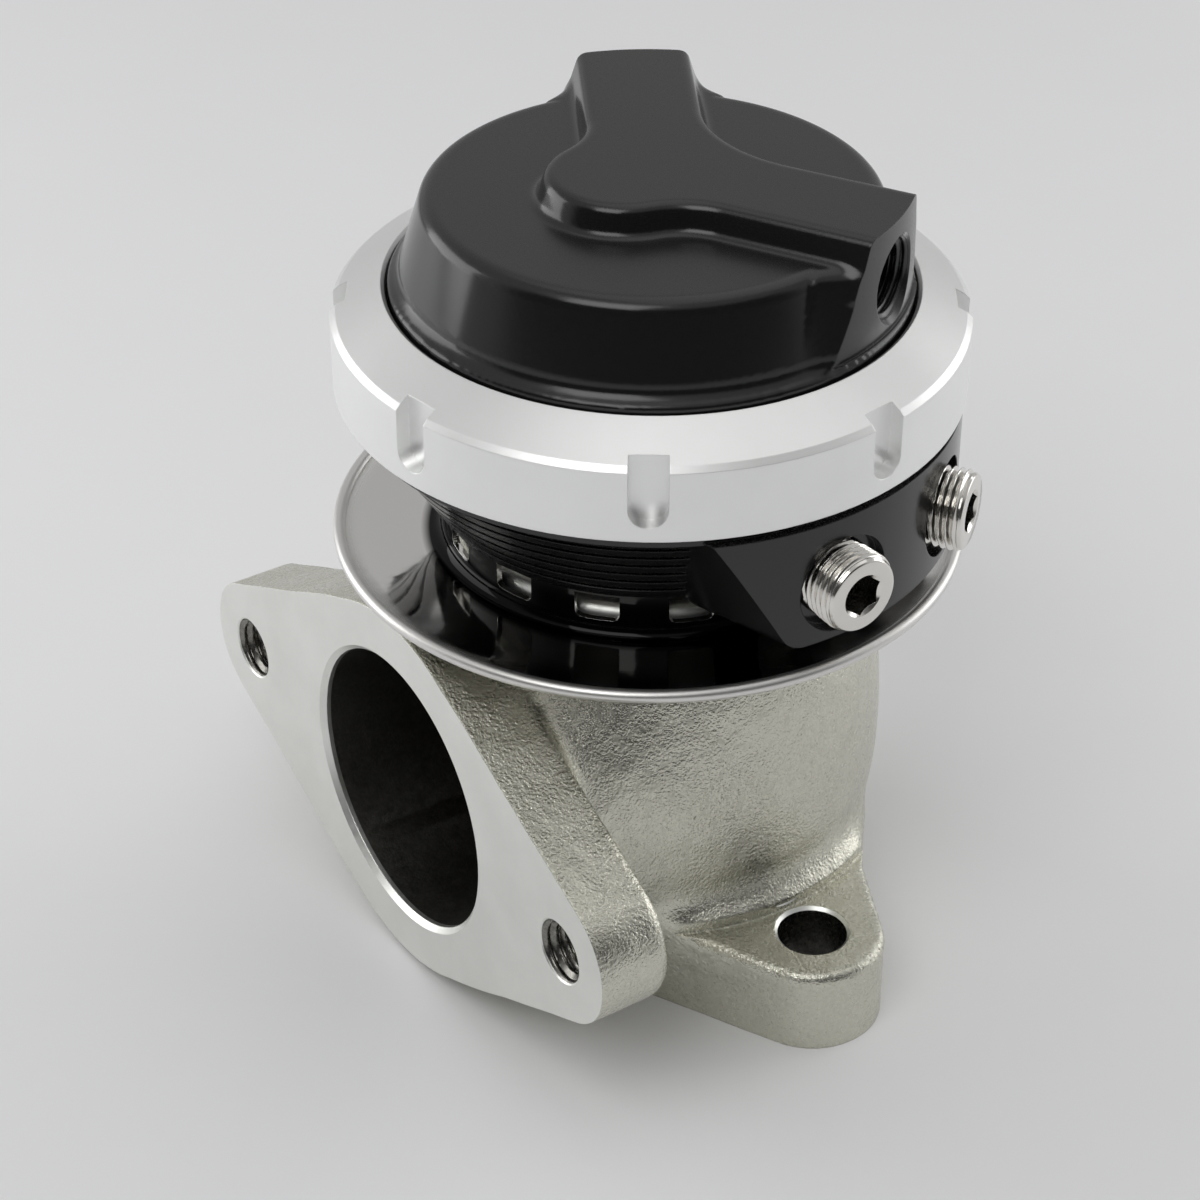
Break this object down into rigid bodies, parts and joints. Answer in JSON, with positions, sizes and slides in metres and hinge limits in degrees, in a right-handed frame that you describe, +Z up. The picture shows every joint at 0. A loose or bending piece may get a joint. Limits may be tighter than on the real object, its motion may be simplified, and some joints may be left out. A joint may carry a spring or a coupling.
{
  "type": "turbo wastegate",
  "caption": "External turbo wastegate: cast two-flange valve body with a poppet valve, dished heat shield, finned actuator housing, notched locking collar and ported spring cap.",
  "frame": {"origin": "centre of the inlet flange's lower face, on the valve's axis", "axes": "+Z runs up the valve stem to the cap, the outlet faces -Y, and the bolts of both flanges lie on +X and -X"},
  "size_m": [0.0956, 0.0818, 0.1064],
  "materials": {
    "body_casting": "cast stainless steel with fine grain, flange faces and holes machined",
    "valve_steel": "turned heat-resistant steel",
    "guide_bronze": "turned bronze",
    "shield_steel": "pressed stainless sheet, mirror polished",
    "spacer_ceramic": "pressed mineral composite",
    "housing_black": "turned aluminium, satin black anodised",
    "collar_silver": "turned aluminium, clear anodised over a fine bead blast",
    "cap_black": "satin black anodised, port faces machined bright",
    "plug_steel": "zinc plated steel",
    "screw_steel": "blackened steel",
    "diaphragm_rubber": "fabric-reinforced silicone",
    "seal_rubber": "moulded fluorocarbon seal",
    "piston_alloy": "turned aluminium",
    "spring_red": "powder-coated spring wire",
    "spring_blue": "powder-coated spring wire",
    "spring_yellow": "powder-coated spring wire"
  },
  "bodies": {
    "body": {"valve_body": "body_casting", "seat_ring": "valve_steel", "valve_guide": "guide_bronze", "thermal_spacer": "spacer_ceramic", "heat_shield": "shield_steel", "lower_housing": "housing_black", "housing_screws": "screw_steel", "shaft_bush": "guide_bronze", "shaft_seal": "seal_rubber", "seal_clip": "screw_steel", "port_plugs": "plug_steel"},
    "valve_train": {"poppet_valve": "valve_steel", "diaphragm_plate": "piston_alloy", "piston": "piston_alloy", "stem_washer": "screw_steel", "stem_nut": "screw_steel", "diaphragm": "diaphragm_rubber", "outer_spring": "spring_red", "middle_spring": "spring_blue", "inner_spring": "spring_yellow"},
    "cap": {"cap": "cap_black"},
    "collar": {"locking_collar": "collar_silver"}
  },
  "joints": [
    {"name": "valve_lift", "type": "slide", "parent": "body", "child": "valve_train", "axis": [0, 0, 1], "range_m": [0, 0.009], "stiffness_N_per_m": 9000, "springref_m": -0.006, "deforming": ["outer_spring", "middle_spring", "inner_spring", "diaphragm"]},
    {"name": "cap_clocking", "type": "hinge", "parent": "body", "child": "cap", "pos_m": [0, 0, 0.0877], "axis": [0, 0, 1], "continuous": true},
    {"name": "collar_turn", "type": "hinge", "parent": "body", "child": "collar", "pos_m": [0, 0, 0.0877], "axis": [0, 0, 1], "range_deg": [0, 45]}
  ]
}
